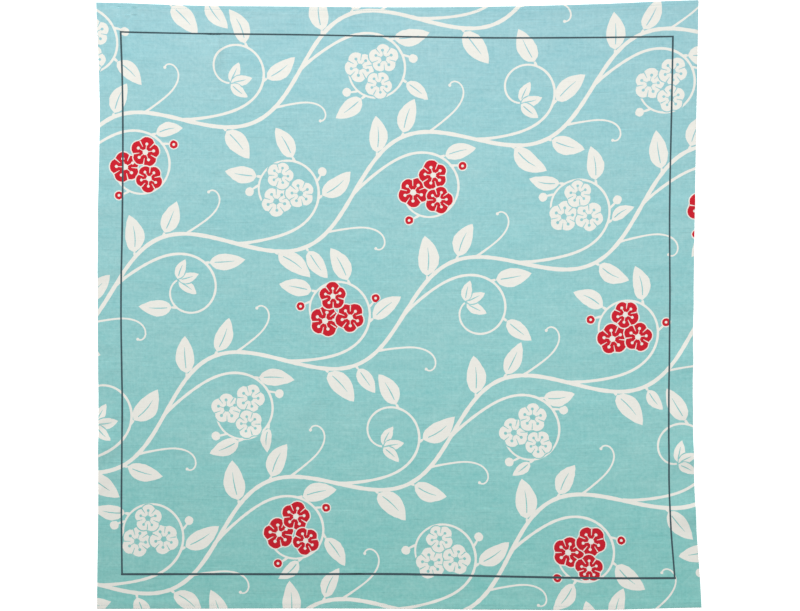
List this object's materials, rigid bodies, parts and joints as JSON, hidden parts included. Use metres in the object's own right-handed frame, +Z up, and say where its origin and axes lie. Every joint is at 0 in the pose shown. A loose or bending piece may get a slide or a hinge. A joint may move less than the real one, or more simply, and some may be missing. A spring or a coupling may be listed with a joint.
{
  "type": "furoshiki wrapping cloth",
  "caption": "Square printed cotton wrapping cloth lying open and flat, face up, with selvedges at its sides and narrow sewn hems at top and bottom.",
  "frame": {"origin": "under the centre of the cloth's bounding box, on the surface that it lies on", "axes": "+Z up out of the printed face, +Y to the cloth's top hem, +X to its right selvedge"},
  "size_m": [1.052, 1.0599, 0.0057],
  "materials": {
    "printed_cotton": "matt slub cotton, dyed aqua and printed"
  },
  "bodies": {
    "root": {"furoshiki_cloth": "printed_cotton"}
  },
  "joints": []
}
